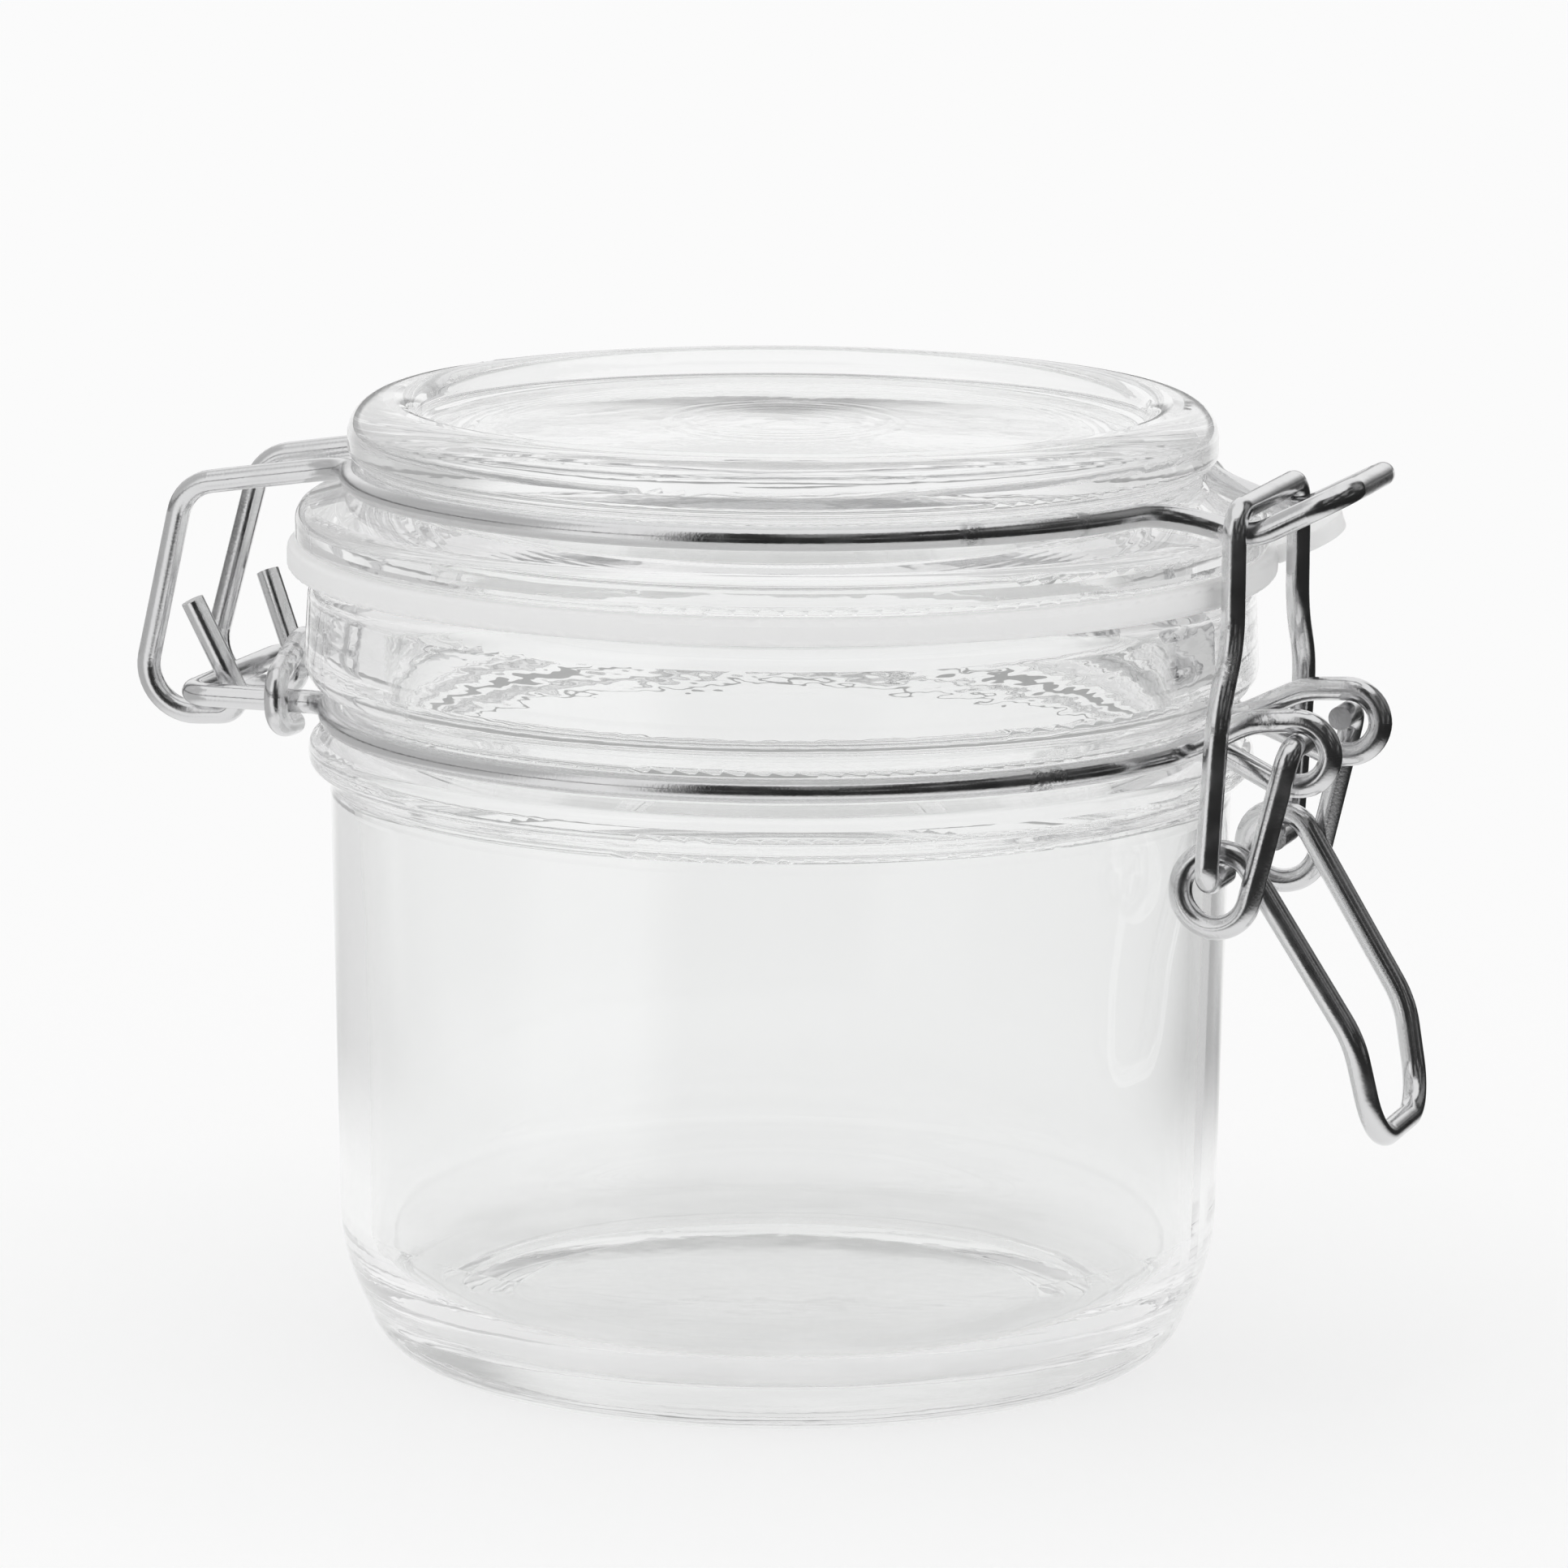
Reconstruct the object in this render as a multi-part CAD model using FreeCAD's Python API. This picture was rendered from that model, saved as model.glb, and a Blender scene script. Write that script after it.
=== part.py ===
"""Glass storage jar with a hinged glass lid, a rubber ring and a bent-wire swing-top latch.

Frame: +Z up, the floor at Z = 0, the jar's axis on Z. The hinge is on the -X side and the
latch on the +X side; the wirework is symmetrical about the plane Y = 0, apart from the two
ends of the neck wire, which close round each other at the hinge. Millimetres throughout.
"""
import FreeCAD, Part
import math
import os

# ---- wire -------------------------------------------------------------------------------
WIRE_D = 2.4                    # all four bent wires
TOUCH = 0.1                     # gap between two wires that bear on each other
SIDE_GAP = 0.3                  # gap between wires that move past each other

# ---- jar body ---------------------------------------------------------------------------
BODY_R = 45.8                   # outside, just under the neck bead
BODY_R_LOW = BODY_R - 1.05      # outside, where the heel begins to draw in
WALL = 3.1                      # side wall
FLOOR = 3.8                     # glass over the push-up
PUSH_UP = 1.8                   # hollow under the base
HEEL_Z = 10.5
HEEL_R = BODY_R_LOW - 4.55      # corner of the heel at the floor, before rounding
STAND_R = HEEL_R - 7.2          # inner edge of the ring that stands on the table
PUSH_UP_R = STAND_R - 6.0
HEEL_ROUND = 5.5
HEEL_BEND = 20.0                # easing from wall to heel
HEEL_INSIDE = 9.0               # rounding of the corner inside
SHOULDER_Z = 59.2               # top of the plain wall
BEAD_R = BODY_R + 2.2           # bead under the neck wire
BEAD_TOP_Z = SHOULDER_Z + 3.8
GROOVE_Z = BEAD_TOP_Z + 2.6     # height of the neck wire's groove
GROOVE_R = BEAD_R - 3.4
FINISH_R = BEAD_R + 0.5         # thick ring of glass round the mouth, at its foot
FINISH_TAPER = 0.6              # and this much less at the rim
RIM_Z = GROOVE_Z + 14.6         # sealing face
MOUTH_R = FINISH_R - 8.1

# ---- rubber ring ------------------------------------------------------------------------
SEAL_T = 2.8
SEAL_R = FINISH_R + 1.6
SEAL_GAP = 0.4                  # ring's inner edge to the lid's rib
SEAL_AIR = 0.05                 # ring to the glass above and below it
TAB_ANGLE = 33.0                # pull tab, turned from the latch towards +Y
TAB_W = 23.0
TAB_REACH = SEAL_R + 8.6        # from the jar's axis
TAB_T = 1.8
TAB_TILT = 18.0                 # the tab curls upward

# ---- lid --------------------------------------------------------------------------------
RIB_GAP = 1.2                   # locating rib to the mouth
RIB_T = 3.2
RIB_DROP = 1.2                  # rib below the sealing face
FLANGE_R = FINISH_R + 0.8
FLANGE_T = 3.7                  # height of the flange's upright edge
LID_GROOVE_R = FLANGE_R - 6.9
LID_GROOVE_RISE = 5.6           # groove's lower corner above the flange's underside
KNOB_R = LID_GROOVE_R + 1.6     # raised roll round the top of the lid
LID_H = 14.4                    # flange's underside to the crest of the roll
CREST_W = 6.2
DISC_R = KNOB_R - 7.4           # sunken disc inside the roll
DISC_SINK = 2.6
DISC_DOME = 1.0
LID_GLASS = 5.0                 # thickness of the disc

# ---- hinge: neck-wire bracket and the lid wire's hooks ------------------------------------
RING_R = GROOVE_R + TOUCH + WIRE_D / 2    # middle line of the neck wire round the groove
PIVOT_X = -(RING_R + 14.0)
BRACKET_HALF = 13.3             # half the bracket's width
BRACKET_BEND = 2.8
NECK_BEND = 3.5                 # where a leg leaves the groove
LEAVE_NEAR = 158.0              # degrees from +X where the -Y half leaves the groove
LEAVE_FAR = 146.0               # degrees from +X where the +Y half leaves the groove
WRAP_X = -(RING_R + 3.0)        # where the wire's end wraps the bracket
CROSS_X = -(FINISH_R + 1.8)     # where the +Y half passes outside the finish
CROSS_RISE = 5.3
ARM_DROP = LID_GROOVE_RISE - FLANGE_T - 0.2    # lid arms below the lid wire's ring
ARM_RUN = 10.0                  # over this length from the ring
ARM_CORNER_X = PIVOT_X - 1.1
ARM_CORNER_DROP = 3.0
HOOK_SLOT = 0.45                # play of the bracket bar in the hook
HOOK_TIP_RISE = 9.2             # hook's cut end above the pivot
HOOK_TUCK = 1.5                 # hooks' bottoms lie this far inside the arms

# ---- latch ------------------------------------------------------------------------------
EYE_HALF = 9.6                  # eyes' middle planes from Y = 0
EYE_TIP_X = RING_R + 14.3       # wire's middle line at the eyes' tips
EYE_R = 3.4
EYE_RISE = 0.75                 # eyes' middle above the groove's height
CURL_X = FINISH_R + 1.0
CURL_SPLAY = 1.0                # lever's legs spread this much from the eyes to the curls
CURL_DROP = 14.5                # curls' middle below the lever's pivot
CURL_R = 3.7
HANDLE_KINK_X = CURL_X + 13.7
HANDLE_KINK_DROP = 29.2
HANDLE_KINK_HALF = 10.1
HANDLE_TIP_X = CURL_X + 15.8
HANDLE_TIP_DROP = 39.6
HANDLE_TIP_HALF = 8.6
BAR_X = SEAL_R + 0.6            # crossbar of the link
TONGUE_HALF = 9.4
TONGUE_RUN = 7.0                # from the ring down to the tongue's height
TONGUE_BEND_X = BAR_X + 1.7
TONGUE_TIP_X = BAR_X + 10.2
TONGUE_RISE = 4.4
LINK_SPLAY_LOW = 3.9            # link's splay starts this far above the lever's pivot
LINK_SPLAY_HIGH = 10.2

# ---- derived heights --------------------------------------------------------------------
WIRE_R = WIRE_D / 2
LID_Z = RIM_Z + SEAL_T
RIB_R = MOUTH_R - RIB_GAP
LID_WIRE_R = LID_GROOVE_R + TOUCH + WIRE_R
LID_WIRE_Z = LID_Z + LID_GROOVE_RISE + WIRE_R
ARM_HALF = BRACKET_HALF - WIRE_D - SIDE_GAP
PIVOT_Z = GROOVE_Z
EYE_Z = GROOVE_Z + EYE_RISE
LEVER_X = EYE_TIP_X - EYE_R
LEVER_Z = EYE_Z + EYE_R - WIRE_D - SIDE_GAP
LEVER_HALF = EYE_HALF + 0.3 + WIRE_D + SIDE_GAP
CURL_HALF = LEVER_HALF + CURL_SPLAY
STRAND_HALF = CURL_HALF - WIRE_D - 0.2
CURL_Z = LEVER_Z - CURL_DROP
PIN_Z = CURL_Z + CURL_R - WIRE_D - TOUCH
LINK_FOOT_HALF = CURL_HALF + WIRE_D + SIDE_GAP
LINK_TOP_HALF = TONGUE_HALF + WIRE_D + SIDE_GAP
TONGUE_Z = LID_WIRE_Z - ARM_DROP - 0.4
BAR_Z = TONGUE_Z + WIRE_D + TOUCH


def vec(x, y, z):
    return FreeCAD.Vector(x, y, z)


# ---- paths and outlines -------------------------------------------------------------------
def round_corner(before, corner, after, radius):
    """Tangent arc at a corner: (start, middle, end), or None for a sharp corner."""
    to_before = (before - corner).normalize()
    to_after = (after - corner).normalize()
    turn = math.pi - to_before.getAngle(to_after)
    if radius <= 0 or turn < 1e-6:
        return None
    reach = radius * math.tan(turn / 2)
    bisector = (to_before + to_after).normalize()
    middle = radius / math.cos(turn / 2) - radius
    return corner + to_before * reach, corner + bisector * middle, corner + to_after * reach


def edges_along(corners, closed=False):
    """Straight runs joined by tangent arcs; corners are (point, radius) pairs."""
    count = len(corners)
    arcs = []
    for i, (point, radius) in enumerate(corners):
        if not closed and i in (0, count - 1):
            arcs.append(None)
            continue
        before = corners[i - 1][0]
        after = corners[(i + 1) % count][0]
        arcs.append(round_corner(before, point, after, radius))
    edges = []
    for i in range(count if closed else count - 1):
        j = (i + 1) % count
        start = arcs[i][2] if arcs[i] else corners[i][0]
        end = arcs[j][0] if arcs[j] else corners[j][0]
        if (end - start).Length > 1e-4:
            edges.append(Part.LineSegment(start, end).toShape())
        if arcs[j]:
            edges.append(Part.Arc(*arcs[j]).toShape())
    return edges


def bent_wire(corners):
    """A round wire of the one gauge, swept along rounded corners."""
    path = Part.Wire(edges_along(corners))
    start = corners[0][0]
    heading = (corners[1][0] - start).normalize()
    section = Part.Wire([Part.makeCircle(WIRE_R, start, heading)])
    return path.makePipeShell([section], True, False)


def turned(outline):
    """A solid of revolution about Z; the outline is a list of (radius, height, rounding)."""
    corners = [(vec(r, 0, z), rounding) for r, z, rounding in outline]
    face = Part.Face(Part.Wire(edges_along(corners, closed=True)))
    return face.revolve(vec(0, 0, 0), vec(0, 0, 1), 360)


def ring_corners(radius, z, start, end, steps):
    """Corners of a path that follows a ring between two angles, with its two end tangents."""
    step = math.radians(end - start) / steps
    reach = radius / math.cos(step / 2)
    corners = []
    for i in range(steps):
        angle = math.radians(start) + (i + 0.5) * step
        corners.append((vec(reach * math.cos(angle), reach * math.sin(angle), z), radius))
    return corners


def meet_y(radius, angle, y):
    """X where the tangent of a ring at an angle meets the line Y = y."""
    a = math.radians(angle)
    along = (y - radius * math.sin(a)) / math.cos(a)
    return radius * math.cos(a) - along * math.sin(a)


def meet_x(radius, angle, x):
    """Y where the tangent of a ring at an angle meets the line X = x."""
    a = math.radians(angle)
    along = (radius * math.cos(a) - x) / math.sin(a)
    return radius * math.sin(a) + along * math.cos(a)


def mirrored(corners):
    """The same corners on the other side of Y = 0, in reverse order."""
    return [(vec(p.x, -p.y, p.z), radius) for p, radius in reversed(corners)]


# ---- glass and rubber ---------------------------------------------------------------------
def jar_glass():
    outside = [
        (0, PUSH_UP, 0),
        (PUSH_UP_R, PUSH_UP, 1.5),
        (STAND_R, 0, 2.0),
        (HEEL_R, 0, HEEL_ROUND),
        (BODY_R_LOW, HEEL_Z, HEEL_BEND),
        (BODY_R, SHOULDER_Z, 1.5),
        (BEAD_R, SHOULDER_Z + 1.4, 1.3),
        (BEAD_R, BEAD_TOP_Z, 1.5),
        (GROOVE_R, GROOVE_Z - WIRE_R - 0.2, 0.9),
        (GROOVE_R, GROOVE_Z + WIRE_R + 0.4, 1.0),
        (FINISH_R, GROOVE_Z + WIRE_R + 2.7, 3.0),
        (FINISH_R - FINISH_TAPER, RIM_Z, 2.8),
    ]
    inside = [
        (MOUTH_R, RIM_Z, 0.8),
        (MOUTH_R, GROOVE_Z - 1.0, 6.0),
        (BODY_R - WALL, SHOULDER_Z - 1.5, 6.0),
        (BODY_R_LOW - WALL, PUSH_UP + FLOOR - 0.4, HEEL_INSIDE),
        (0, PUSH_UP + FLOOR, 0),
    ]
    return turned(outside + inside)


def lid_glass():
    crest_z = LID_Z + LID_H
    disc_z = crest_z - DISC_SINK
    under_z = disc_z - LID_GLASS
    rib_inner = RIB_R - RIB_T
    outline = [
        (0, under_z + DISC_DOME, 0),
        (rib_inner - 2.0, under_z, 4.0),
        (rib_inner, RIM_Z - RIB_DROP, 1.0),
        (RIB_R, RIM_Z - RIB_DROP, 1.0),
        (RIB_R, LID_Z, 0.3),
        (FLANGE_R, LID_Z, 0.8),
        (FLANGE_R, LID_Z + FLANGE_T, 1.8),
        (LID_GROOVE_R, LID_Z + LID_GROOVE_RISE, 0.9),
        (LID_GROOVE_R, LID_WIRE_Z + WIRE_R + 0.1, 0.5),
        (KNOB_R, LID_WIRE_Z + WIRE_R + 0.3, 1.6),
        (KNOB_R, crest_z, 3.6),
        (KNOB_R - CREST_W, crest_z, 2.4),
        (DISC_R, disc_z, 2.0),
        (0, disc_z + DISC_DOME, 0),
    ]
    return turned(outline)


def gasket():
    ring = turned([
        (RIB_R + SEAL_GAP, RIM_Z + SEAL_AIR, 0),
        (SEAL_R, RIM_Z + SEAL_AIR, 0.7),
        (SEAL_R, LID_Z - SEAL_AIR, 0.7),
        (RIB_R + SEAL_GAP, LID_Z - SEAL_AIR, 0),
    ])
    root = SEAL_R - 1.0
    plate = Part.makeBox(TAB_REACH - root, TAB_W, TAB_T, vec(root, -TAB_W / 2, RIM_Z + 0.5))
    corners = [e for e in plate.Edges if is_upright(e) and e.CenterOfMass.x > root + 1]
    plate = plate.makeFillet(TAB_W / 3, corners)
    plate.rotate(vec(root, 0, RIM_Z + 0.5), vec(0, 1, 0), -TAB_TILT)
    plate.rotate(vec(0, 0, 0), vec(0, 0, 1), TAB_ANGLE)
    return ring.fuse(plate).removeSplitter()


def is_upright(edge):
    first, last = edge.Vertexes[0].Point, edge.Vertexes[-1].Point
    return abs(first.x - last.x) + abs(first.y - last.y) < 1e-6


# ---- wirework -----------------------------------------------------------------------------
def eye(side):
    """One latch eye, from the ring's side leg to the middle of the neck; side is -1 or 1."""
    outer = EYE_HALF + 1.3
    inner = EYE_HALF - 1.2
    top_z = EYE_Z + EYE_R
    low_z = EYE_Z - EYE_R
    leave_x = meet_y(RING_R, -18, -outer)
    return [
        (vec(leave_x, side * outer, GROOVE_Z), NECK_BEND),
        (vec(EYE_TIP_X - 8.0, side * (EYE_HALF + 0.5), top_z - 0.5), 8.0),
        (vec(EYE_TIP_X, side * (EYE_HALF + 0.3), top_z), EYE_R),
        (vec(EYE_TIP_X, side * (EYE_HALF - 0.1), low_z), EYE_R),
        (vec(EYE_TIP_X - 5.2, side * (EYE_HALF - 0.3), low_z), 3.5),
        (vec(RING_R + 2.7, side * inner, GROOVE_Z + 0.2), 3.0),
        (vec(RING_R, side * inner, GROOVE_Z), 1.8),
    ]


def neck_wire():
    """One wire round the neck: bracket at the hinge, two eyes at the latch, ends hooked over."""
    lap = WIRE_D + TOUCH
    far_cross_y = meet_x(RING_R, LEAVE_FAR, CROSS_X)
    end_b = [
        (vec(WRAP_X + 0.4, 1.6 - BRACKET_HALF, GROOVE_Z - lap), 0),
        (vec(WRAP_X, -BRACKET_HALF - lap, GROOVE_Z - lap), lap - 0.05),
        (vec(WRAP_X, -BRACKET_HALF - lap, GROOVE_Z + lap), lap - 0.3),
        (vec(CROSS_X, -5.0, GROOVE_Z + CROSS_RISE), 5.0),
        (vec(CROSS_X, far_cross_y, GROOVE_Z), 6.0),
    ]
    far_half = ring_corners(RING_R, GROOVE_Z, LEAVE_FAR, 18, 3)
    near_half = ring_corners(RING_R, GROOVE_Z, -18, -LEAVE_NEAR, 3)
    bracket = [
        (vec(meet_y(RING_R, -LEAVE_NEAR, -BRACKET_HALF), -BRACKET_HALF, GROOVE_Z), NECK_BEND),
        (vec(PIVOT_X, -BRACKET_HALF, PIVOT_Z), BRACKET_BEND),
        (vec(PIVOT_X, BRACKET_HALF, PIVOT_Z), BRACKET_BEND),
        (vec(WRAP_X - 4.0, BRACKET_HALF, PIVOT_Z), 2.5),
        (vec(WRAP_X - 1.6, BRACKET_HALF, GROOVE_Z + lap), 1.5),
        (vec(WRAP_X + 1.6, BRACKET_HALF, GROOVE_Z + lap), 0),
    ]
    return bent_wire(end_b + far_half + eye(1) + mirrored(eye(1)) + near_half + bracket)


def lid_wire():
    """One wire round the lid: two hooks at the hinge, an upturned tongue at the latch."""
    arm_z = LID_WIRE_Z - ARM_DROP
    hook_low_z = PIVOT_Z - WIRE_D - HOOK_SLOT
    leave_x = meet_y(LID_WIRE_R, -158, -ARM_HALF)
    hook = [
        (vec(PIVOT_X - 0.4, ARM_HALF - 0.3, PIVOT_Z + HOOK_TIP_RISE), 0),
        (vec(PIVOT_X + 4.7, ARM_HALF - 2.4, hook_low_z + 0.4), 1.9),
        (vec(PIVOT_X - 7.0, ARM_HALF - HOOK_TUCK, hook_low_z - 0.2), 4.8),
        (vec(ARM_CORNER_X, ARM_HALF, LID_WIRE_Z - ARM_CORNER_DROP), 4.5),
        (vec(leave_x - ARM_RUN, ARM_HALF, arm_z), 12.0),
        (vec(leave_x, ARM_HALF, LID_WIRE_Z - 0.2), 6.0),
    ]
    tongue_start = meet_y(LID_WIRE_R, 20, TONGUE_HALF)
    tongue = [
        (vec(tongue_start, TONGUE_HALF, LID_WIRE_Z - 0.2), 8.0),
        (vec(tongue_start + TONGUE_RUN, TONGUE_HALF, TONGUE_Z), 7.0),
        (vec(TONGUE_BEND_X, TONGUE_HALF, TONGUE_Z), 5.0),
        (vec(TONGUE_TIP_X, TONGUE_HALF, TONGUE_Z + TONGUE_RISE), 4.0),
    ]
    half = ring_corners(LID_WIRE_R, LID_WIRE_Z, 158, 20, 3)
    side = hook + half + tongue
    return bent_wire(side + mirrored(side))


def curl_corners(arrive, leave, side):
    """Corners of the lever's curl, clockwise about its middle, sliding inwards as it turns."""
    steps = 5
    step = (arrive - leave) / steps
    reach = CURL_R / math.cos(step / 2)
    corners = []
    for i in range(steps):
        angle = arrive - (i + 0.5) * step
        y = CURL_HALF + (STRAND_HALF - CURL_HALF) * (i + 0.5) / steps
        x = CURL_X + reach * math.cos(angle)
        corners.append((vec(x, side * y, CURL_Z + reach * math.sin(angle)), CURL_R * 0.985))
    return corners


def tangent_angle(dx, dz, radius, turn):
    """Angle on a circle where a line to the point (dx, dz) from its middle touches it."""
    return math.atan2(dz, dx) + turn * math.acos(radius / math.hypot(dx, dz))


def lever():
    """Two legs from the eyes, a curl in each, and the closed handle below."""
    arrive = tangent_angle(LEVER_X - CURL_X, LEVER_Z - CURL_Z, CURL_R, -1)
    kink_z = LEVER_Z - HANDLE_KINK_DROP
    leave = tangent_angle(HANDLE_KINK_X - CURL_X, kink_z - CURL_Z, CURL_R, 1) - 2 * math.pi
    side = [
        (vec(LEVER_X, EYE_HALF - 3.0, LEVER_Z), 0),
        (vec(LEVER_X, LEVER_HALF, LEVER_Z), 1.9),
        *curl_corners(arrive, leave, 1),
        (vec(HANDLE_KINK_X, HANDLE_KINK_HALF, kink_z), 12.0),
        (vec(HANDLE_TIP_X, HANDLE_TIP_HALF, LEVER_Z - HANDLE_TIP_DROP), 5.4),
    ]
    return bent_wire(side + mirrored(side))


def link():
    """Inverted U from the curls up to the crossbar that bears on the tongue."""
    side = [
        (vec(CURL_X, STRAND_HALF - 1.6, PIN_Z), 0),
        (vec(CURL_X, LINK_FOOT_HALF, PIN_Z), 1.9),
        (vec(CURL_X + 1.0, LINK_FOOT_HALF, LEVER_Z + LINK_SPLAY_LOW), 9.0),
        (vec(BAR_X, LINK_TOP_HALF, LEVER_Z + LINK_SPLAY_HIGH), 9.0),
        (vec(BAR_X, LINK_TOP_HALF, BAR_Z), 2.6),
    ]
    return bent_wire(side + mirrored(side))


def main():
    os.makedirs("parts", exist_ok=True)
    pieces = {
        "jar_glass": jar_glass(),
        "lid_glass": lid_glass(),
        "gasket": gasket(),
        "neck_wire": neck_wire(),
        "lid_wire": lid_wire(),
        "lever": lever(),
        "link": link(),
    }
    for name, shape in pieces.items():
        solid = shape.Solids[0]
        print(name, "solids", len(shape.Solids), "valid", solid.isValid(), "volume", round(solid.Volume, 1))
        solid.exportStep("parts/" + name + ".step")


main()
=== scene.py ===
"""Looks of the glass storage jar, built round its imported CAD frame. Metres, Z up."""
import math

import bpy
from mathutils import Matrix, Vector


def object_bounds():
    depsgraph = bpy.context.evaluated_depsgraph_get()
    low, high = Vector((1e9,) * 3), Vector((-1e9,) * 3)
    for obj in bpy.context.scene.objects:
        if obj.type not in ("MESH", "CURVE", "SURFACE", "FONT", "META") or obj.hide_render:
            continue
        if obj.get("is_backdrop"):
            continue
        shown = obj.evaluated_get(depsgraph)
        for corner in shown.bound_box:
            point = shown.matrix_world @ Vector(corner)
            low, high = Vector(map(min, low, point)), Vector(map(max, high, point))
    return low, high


MM = 0.001

# ---- camera -------------------------------------------------------------------------------
CAMERA_AT = (0.2679, -0.8005, 0.2141)
CAMERA_TO = (0.0003, 0.0001, 0.0578)
CAMERA_ROLL = 0.4               # degrees
LENS = 193.7                    # on a 36 mm sensor

# ---- room ---------------------------------------------------------------------------------
FLOOR_RADIUS = 9.0
FLOOR_COLOUR = 0.80
FLOOR_LIFT = 0.20               # glow of the light table
FLOOR_GAP = 0.02                # mm between the floor and the jar's foot
BACKDROP = 0.965                # what the camera, and gloss and glass, see past the floor
ROOM_LEVEL = 0.80               # the room's light on matt surfaces
SOFTBOX_LEVEL = 1.25            # and the softbox's, which gloss and glass don't show
SOFTBOX_RISE = (58.0, 100.0)    # degrees above the floor that the softbox fills
ROOM_SOFT = 8.0                 # degrees over which it and the cards' top and bottom fade
CARD_TURN = (-92.0, 70.0)       # degrees from +X that the black cards stand between
CARD_RISE = (-4.0, 50.0)        # and their height, in degrees above the floor
CARD_SOFT = 16.0                # degrees over which their sides fade
CARD_PATCHES = 2.6              # scale of the paler patches in them
LEFT_CARD = 142.0               # a weaker card stands this far round from +X, to both sides
LEFT_CARD_LEVEL = 0.45          # how black it is next to the others
CARD_IN_METAL = 0.98            # how black the cards are in wire
CARD_IN_GLASS = 0.36            # and in what glass bends into view
MAT_FROM = (0.09, 0.17)         # metres out between which the mat before them fades in
HORIZON = (-8.0, 4.0)           # dark band of the room all round, in degrees of height
HORIZON_SOFT = 4.0              # degrees over which it fades
HORIZON_IN_METAL = 0.85         # how dark that band is in wire
HORIZON_IN_GLASS = 0.60         # and in glass

# ---- glass, rubber and wire ---------------------------------------------------------------
GLASS_TINT = (0.965, 0.968, 0.966, 1.0)
BASE_TINT_AND_SHADE = (0.76, 0.765, 0.76, 1.0)        # the thick glass of the base is greyer, and the grey also paints in the shade of the floor under the jar seen through the heel
BASE_GREY_AND_SHADE_FADE = (3.5, 9.0)                      # heights over which that grey and painted shade fade, in mm
GLASS_IOR = 1.51
GLASS_LAMPS = (0.97, 0.97, 0.97, 1.0)       # share of lamp light that goes straight through
RUBBER_TINT = (0.97, 0.97, 0.965, 1.0)
RUBBER_CLOUD = (0.93, 0.93, 0.92, 1.0)
RUBBER_IOR = 1.41
STEEL_LIGHT = (0.74, 0.74, 0.745, 1.0)
STEEL_DARK = (0.36, 0.36, 0.365, 1.0)
GLASS_DEPTH = 7                 # from this many bounces on, a ray goes straight through
BOUNCES = 10                    # light turned back inside glass counts as glossy
CLEAR_BOUNCES = 24              # passes straight through, as for lamps and spent rays

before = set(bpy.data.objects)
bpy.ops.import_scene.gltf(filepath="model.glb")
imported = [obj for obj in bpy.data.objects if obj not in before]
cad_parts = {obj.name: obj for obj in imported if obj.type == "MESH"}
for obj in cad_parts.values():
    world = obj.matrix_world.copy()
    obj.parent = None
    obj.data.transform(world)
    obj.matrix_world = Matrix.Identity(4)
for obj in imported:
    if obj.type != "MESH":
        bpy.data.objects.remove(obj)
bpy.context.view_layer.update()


# ---- node helpers -------------------------------------------------------------------------
class Nodes:
    """Adds nodes to one tree; a value is set on a socket, and an output is linked to it."""

    def __init__(self, tree):
        self.tree = tree
        tree.nodes.clear()

    def add(self, kind, sockets=None, **settings):
        node = self.tree.nodes.new("ShaderNode" + kind)
        for name, value in settings.items():
            setattr(node, name, value)
        for name, value in (sockets or {}).items():
            if isinstance(value, bpy.types.NodeSocket):
                self.tree.links.new(value, node.inputs[name])
            else:
                node.inputs[name].default_value = value
        return node

    def maths(self, operation, first, second=0.0):
        return self.add("Math", {0: first, 1: second}, operation=operation).outputs[0]

    def ease(self, value, low, high, at_low=0.0, at_high=1.0):
        """A smooth step of value from low to high."""
        sockets = {
            "Value": value,
            "From Min": low,
            "From Max": high,
            "To Min": at_low,
            "To Max": at_high,
        }
        return self.add("MapRange", sockets, interpolation_type="SMOOTHSTEP").outputs[0]

    def window(self, value, low, high, soft):
        """1 between low and high, fading to 0 over soft outside them."""
        rise = self.ease(value, low - soft, low)
        fall = self.ease(value, high, high + soft, 1.0, 0.0)
        return self.maths("MULTIPLY", rise, fall)

    def noise(self, vector, scale, detail=2.0, roughness=0.5):
        sockets = {"Vector": vector, "Scale": scale, "Detail": detail, "Roughness": roughness}
        return self.add("TexNoise", sockets).outputs["Fac"]

    def mix(self, factor, first, second):
        node = self.add("Mix", {0: factor, 6: first, 7: second}, data_type="RGBA")
        return node.outputs[2]

    def stretch(self, vector, scale):
        return self.add("Mapping", {"Vector": vector, "Scale": scale}).outputs[0]

    def bump(self, height, distance, normal=None):
        sockets = {"Height": height, "Distance": distance, "Strength": 1.0}
        if normal:
            sockets["Normal"] = normal
        return self.add("Bump", sockets).outputs[0]


def new_material(name):
    material = bpy.data.materials.new(name)
    material.use_nodes = True
    return material, Nodes(material.node_tree)


def put(material, *nodes):
    """Gives CAD nodes a material and smooth shading."""
    for node in nodes:
        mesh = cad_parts[node].data
        mesh.materials.clear()
        mesh.materials.append(material)
        mesh.shade_smooth()


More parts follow.
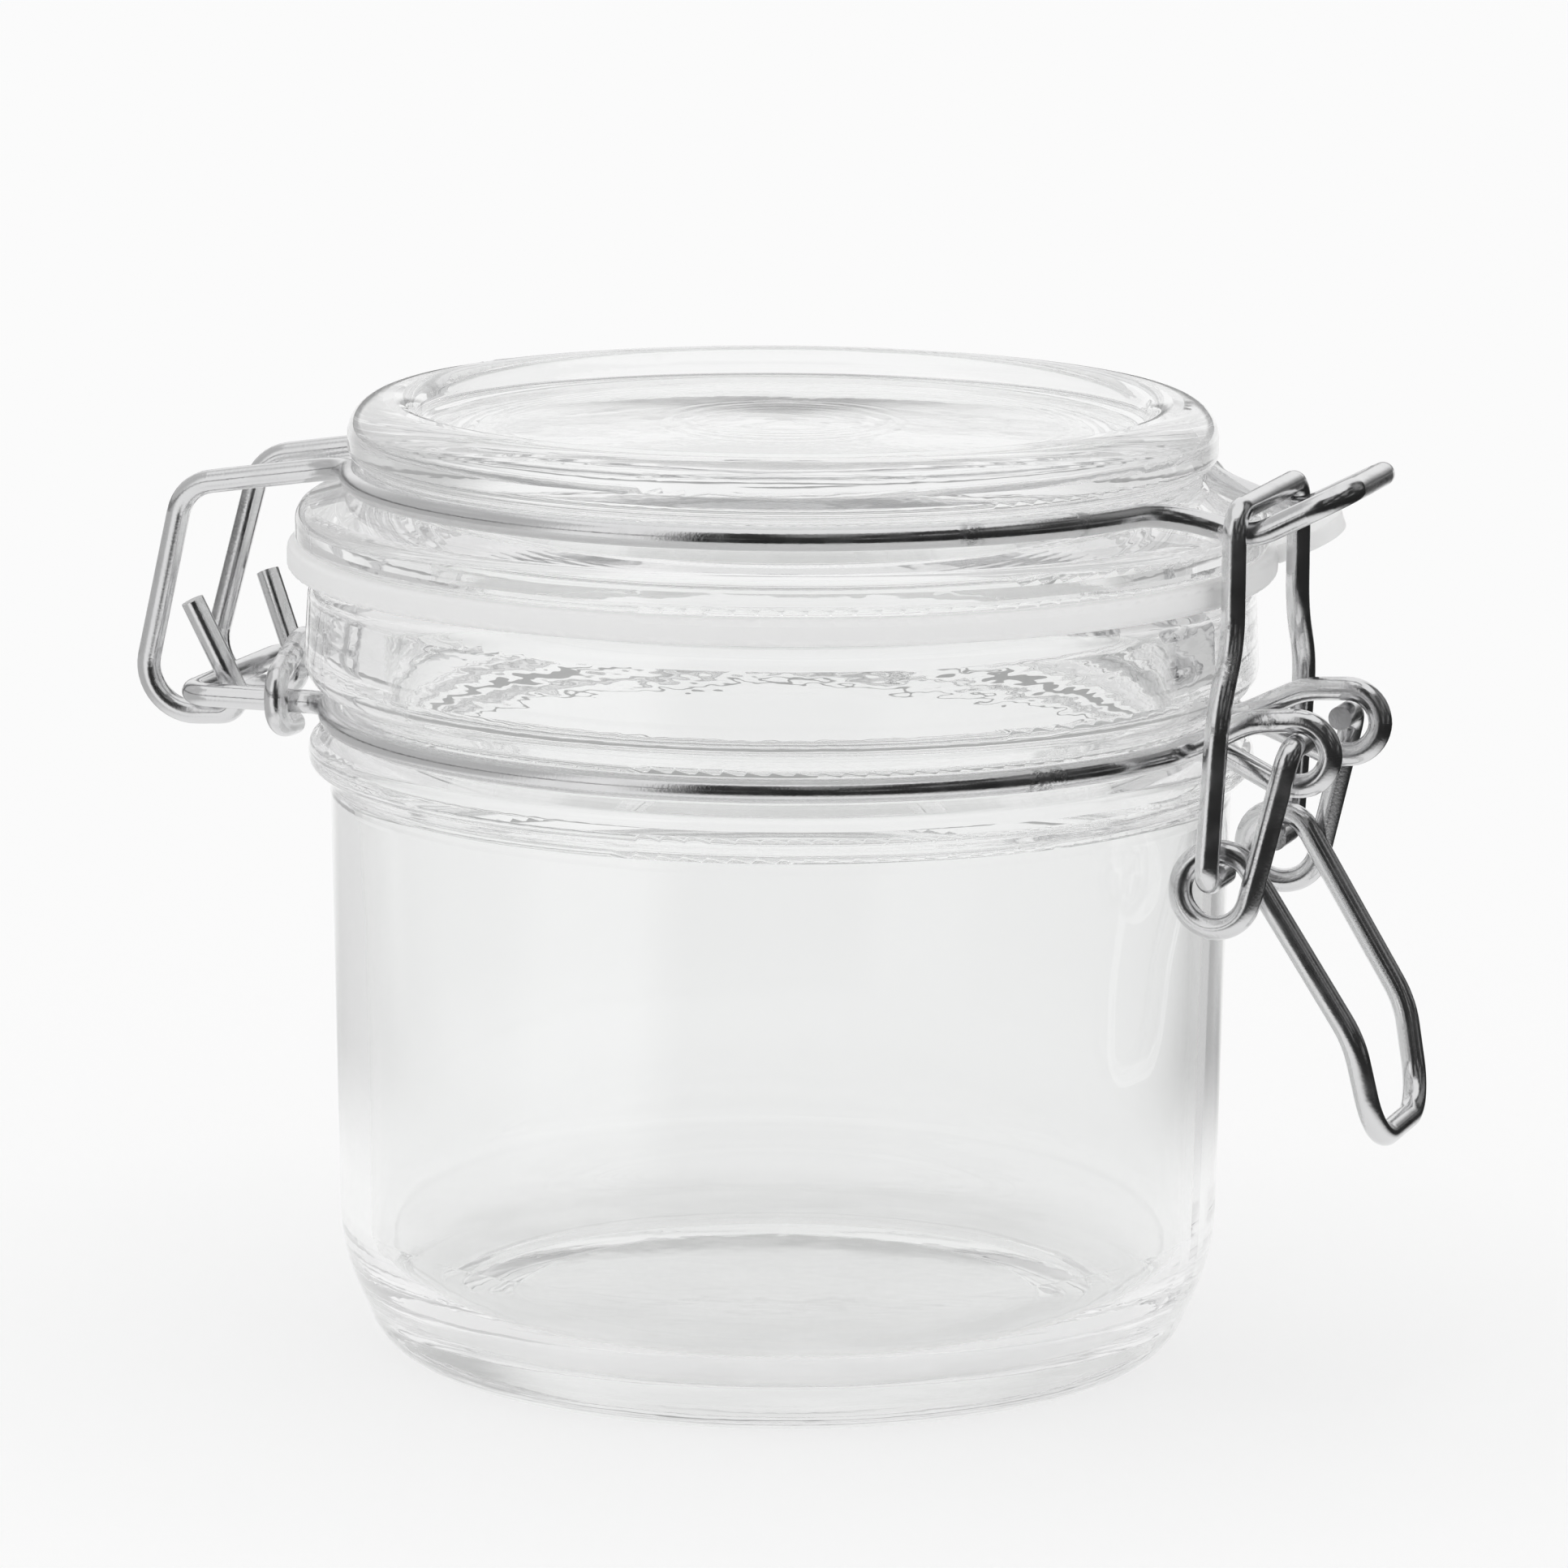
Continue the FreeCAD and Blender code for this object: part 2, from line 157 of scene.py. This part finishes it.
# ---- materials ----------------------------------------------------------------------------
def glass_material(name, wave, ripple, ripple_zones, ring_zones=()):
    """Pressed glass, clear to lamps, with a base tinted grey, partly for its thick glass and
    partly as painted shade of the shaded floor under the jar.

    Long waves are wave mm deep and chill wrinkles ripple mm. The wrinkles show in ripple_zones,
    each a low and a high height and a soft edge. Mould rings show in ring_zones, each an inner
    and an outer radius, a pitch and a depth. All of these are in mm.
    """
    material, n = new_material(name)
    place = n.add("TexCoord").outputs["Object"]
    height = n.add("SeparateXYZ", {0: place}).outputs[2]
    waves = n.noise(n.stretch(place, (1, 1, 0.6)), 38.0, 2.0)
    wrinkles = n.noise(n.stretch(place, (1, 1, 3.0)), 90.0, 3.0, 0.5)
    zone = 0.0
    for low, high, soft in ripple_zones:
        zone = n.maths("MAXIMUM", zone, n.window(height, low * MM, high * MM, soft * MM))
    wrinkles = n.maths("MULTIPLY", wrinkles, zone)
    normal = n.bump(waves, wave * MM)
    normal = n.bump(wrinkles, ripple * MM, normal)
    if ring_zones:
        flat = n.stretch(place, (1, 1, 0))
        radius = n.add("VectorMath", {0: flat}, operation="LENGTH").outputs["Value"]
        for low, high, pitch, depth in ring_zones:
            turns = n.maths("SINE", n.maths("MULTIPLY", radius, 2 * math.pi / (pitch * MM)))
            rings = n.maths("MULTIPLY", turns, n.window(radius, low * MM, high * MM, MM))
            normal = n.bump(rings, depth * MM, normal)
    # Painted shade: the base below 9 mm is tinted grey, partly for the thickness of its glass and
    # partly standing in for the shaded floor under the jar seen through the heel; noise streaks
    # vary it.
    thick_and_shade = n.ease(height, BASE_GREY_AND_SHADE_FADE[0] * MM, BASE_GREY_AND_SHADE_FADE[1] * MM, 1.0, 0.0)
    streaks = n.noise(n.stretch(place, (1, 1, 6.0)), 60.0, 3.0)
    thick_and_shade = n.maths("MULTIPLY", thick_and_shade, n.ease(streaks, 0.35, 0.65, 0.55, 1.0))
    shader = n.add("BsdfPrincipled", {
        "Base Color": n.mix(thick_and_shade, GLASS_TINT, BASE_TINT_AND_SHADE),
        "Roughness": 0.015,
        "IOR": GLASS_IOR,
        "Transmission Weight": 1.0,
        "Normal": normal,
    })
    lamps = n.add("BsdfTransparent", {"Color": GLASS_LAMPS})
    path = n.add("LightPath")
    lit = n.maths("MAXIMUM", path.outputs["Is Shadow Ray"], path.outputs["Is Diffuse Ray"])
    spent = n.maths("GREATER_THAN", path.outputs["Ray Depth"], GLASS_DEPTH - 0.5)
    lit = n.maths("MAXIMUM", lit, spent)
    mixed = n.add("MixShader", {0: lit, 1: shader.outputs[0], 2: lamps.outputs[0]})
    n.add("OutputMaterial", {"Surface": mixed.outputs[0]})
    return material


def rubber_material():
    """Pale silicone rubber, milky and a little see-through, with a matt moulded skin."""
    material, n = new_material("silicone_rubber")
    place = n.add("TexCoord").outputs["Object"]
    cloud = n.noise(place, 120.0, 3.0)
    grain = n.noise(place, 2600.0, 2.0)
    colour = n.mix(cloud, RUBBER_TINT, RUBBER_CLOUD)
    shader = n.add("BsdfPrincipled", {
        "Base Color": colour,
        "Roughness": n.ease(cloud, 0.2, 0.8, 0.34, 0.5),
        "IOR": RUBBER_IOR,
        "Transmission Weight": 0.15,
        "Subsurface Weight": 0.8,
        "Subsurface Radius": (1.0, 1.0, 1.0),
        "Subsurface Scale": 2.5 * MM,
        "Normal": n.bump(grain, 0.02 * MM),
    })
    n.add("OutputMaterial", {"Surface": shader.outputs[0]})
    return material


def steel_material():
    """Bright drawn wire: faint draw lines, hazy patches and a few dull bending marks."""
    material, n = new_material("drawn_steel_wire")
    place = n.add("TexCoord").outputs["Object"]
    haze = n.noise(place, 260.0, 3.0, 0.6)
    speck = n.noise(place, 900.0, 3.0, 0.65)
    marks = n.noise(n.stretch(place, (1, 1, 0.5)), 95.0, 2.0)
    scuffed = n.maths("MULTIPLY", n.ease(marks, 0.62, 0.70), n.ease(speck, 0.42, 0.62))
    colour = n.mix(scuffed, STEEL_LIGHT, STEEL_DARK)
    dull = n.maths("ADD", n.ease(haze, 0.35, 0.75, 0.15, 0.26), n.maths("MULTIPLY", scuffed, 0.2))
    fine = n.noise(place, 3500.0, 2.0)
    normal = n.bump(fine, 0.012 * MM)
    normal = n.bump(scuffed, 0.03 * MM, normal)
    shader = n.add("BsdfPrincipled", {
        "Base Color": colour,
        "Metallic": 1.0,
        "Roughness": dull,
        "Normal": normal,
    })
    n.add("OutputMaterial", {"Surface": shader.outputs[0]})
    return material


put(glass_material("jar_glass", 0.16, 0.06, [(0, 9, 6), (70, 79, 3)]), "jar_glass")
lid_rings = [(9.5, 12.0, 2.4, 0.004), (29.0, 35.5, 1.1, 0.002)]
put(glass_material("lid_glass", 0.06, 0.03, [(83, 97, 2)], lid_rings), "lid_glass")
put(rubber_material(), "gasket")
put(steel_material(), "neck_wire", "lid_wire", "lever", "link")


# ---- room ---------------------------------------------------------------------------------
def darkness(n, path, in_metal, in_glass):
    """How black a card looks in gloss and in what glass bends into view; none to the camera."""
    glass = n.maths("GREATER_THAN", path["Transmission Depth"], 0.5)
    strength = n.ease(glass, 0.0, 1.0, in_metal, in_glass)
    indirect = n.maths("MAXIMUM", path["Is Glossy Ray"], path["Is Transmission Ray"])
    return n.maths("MULTIPLY", indirect, strength)


def card_across(n, turn):
    """Where round the room the cards stand: one to the front and right, a weaker one left."""
    low, high, soft = (math.radians(angle) for angle in (*CARD_TURN, CARD_SOFT))
    left_from = math.radians(LEFT_CARD)
    left = n.ease(n.maths("ABSOLUTE", turn), left_from - soft, left_from)
    left = n.maths("MULTIPLY", left, LEFT_CARD_LEVEL)
    return n.maths("MAXIMUM", n.window(turn, low, high, soft), left)


def room_light():
    """A pale room with a softbox above; black cards and a dark band in gloss and glass."""
    world = bpy.data.worlds.new("room")
    bpy.context.scene.world = world
    world.use_nodes = True
    n = Nodes(world.node_tree)
    along = n.add("SeparateXYZ", {0: n.add("TexCoord").outputs["Generated"]})
    turn = n.maths("ARCTAN2", along.outputs[1], along.outputs[0])
    rise = n.maths("ARCSINE", along.outputs[2])
    deg = math.radians
    card_height = n.window(rise, deg(CARD_RISE[0]), deg(CARD_RISE[1]), deg(ROOM_SOFT))
    card = n.maths("MULTIPLY", card_across(n, turn), card_height)
    path = n.add("LightPath").outputs
    uneven = n.noise(n.add("TexCoord").outputs["Generated"], CARD_PATCHES, 2.0)
    card = n.maths("MULTIPLY", card, n.ease(uneven, 0.38, 0.52, 0.75, 1.0))
    card = n.maths("MULTIPLY", card, darkness(n, path, CARD_IN_METAL, CARD_IN_GLASS))
    band = n.window(rise, deg(HORIZON[0]), deg(HORIZON[1]), deg(HORIZON_SOFT))
    band = n.maths("MULTIPLY", band, darkness(n, path, HORIZON_IN_METAL, HORIZON_IN_GLASS))
    card = n.maths("MAXIMUM", card, band)
    softbox = n.window(rise, deg(SOFTBOX_RISE[0]), deg(SOFTBOX_RISE[1]), deg(ROOM_SOFT))
    level = n.maths("ADD", ROOM_LEVEL, n.maths("MULTIPLY", softbox, SOFTBOX_LEVEL - ROOM_LEVEL))
    lit = n.add("Background", {"Color": (1, 1, 1, 1), "Strength": level})
    backdrop = n.maths("MULTIPLY", BACKDROP, n.maths("SUBTRACT", 1.0, card))
    seen = n.add("Background", {"Color": (1, 1, 1, 1), "Strength": backdrop})
    shown = n.maths("MAXIMUM", path["Is Glossy Ray"], path["Is Transmission Ray"])
    shown = n.maths("MAXIMUM", path["Is Camera Ray"], shown)
    mixed = n.add("MixShader", {0: shown, 1: lit.outputs[0], 2: seen.outputs[0]})
    n.add("OutputWorld", {"Surface": mixed.outputs[0]})


def floor():
    """A pale, faintly glowing light table, with a black mat that shows in gloss and glass."""
    bpy.ops.mesh.primitive_circle_add(vertices=96, radius=FLOOR_RADIUS, fill_type="NGON")
    disc = bpy.context.object
    disc.name = "floor"
    disc.location.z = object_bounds()[0][2] - FLOOR_GAP * MM
    material, n = new_material("pale_floor")
    tone = FLOOR_COLOUR
    shader = n.add("BsdfDiffuse", {"Color": (tone, tone, tone, 1)})
    lift = n.add("Emission", {"Strength": FLOOR_LIFT})
    table = n.add("AddShader", {0: shader.outputs[0], 1: lift.outputs[0]})
    place = n.add("TexCoord").outputs["Object"]
    along = n.add("SeparateXYZ", {0: place}).outputs
    turn = n.maths("ARCTAN2", along[1], along[0])
    away = n.add("VectorMath", {0: place}, operation="LENGTH").outputs["Value"]
    mat = n.maths("MULTIPLY", card_across(n, turn), n.ease(away, *MAT_FROM))
    path = n.add("LightPath").outputs
    mat = n.maths("MULTIPLY", mat, darkness(n, path, CARD_IN_METAL, CARD_IN_GLASS))
    black = n.add("Emission", {"Strength": 0.0})
    surface = n.add("MixShader", {0: mat, 1: table.outputs[0], 2: black.outputs[0]})
    n.add("OutputMaterial", {"Surface": surface.outputs[0]})
    disc.data.materials.append(material)
    disc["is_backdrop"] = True


def camera():
    """A long lens looking slightly down on the jar."""
    data = bpy.data.cameras.new("camera")
    data.lens = LENS
    data.sensor_width = 36.0
    data.clip_start = 0.01
    data.clip_end = 60.0
    eye = bpy.data.objects.new("camera", data)
    bpy.context.scene.collection.objects.link(eye)
    aim = (Vector(CAMERA_TO) - Vector(CAMERA_AT)).to_track_quat("-Z", "Y").to_matrix().to_4x4()
    roll = Matrix.Rotation(math.radians(CAMERA_ROLL), 4, "Z")
    eye.matrix_world = Matrix.Translation(CAMERA_AT) @ aim @ roll
    bpy.context.scene.camera = eye


room_light()
floor()
camera()

scene = bpy.context.scene
scene.view_settings.view_transform = "Standard"
scene.cycles.max_bounces = BOUNCES
scene.cycles.transmission_bounces = BOUNCES
scene.cycles.glossy_bounces = BOUNCES
scene.cycles.transparent_max_bounces = CLEAR_BOUNCES
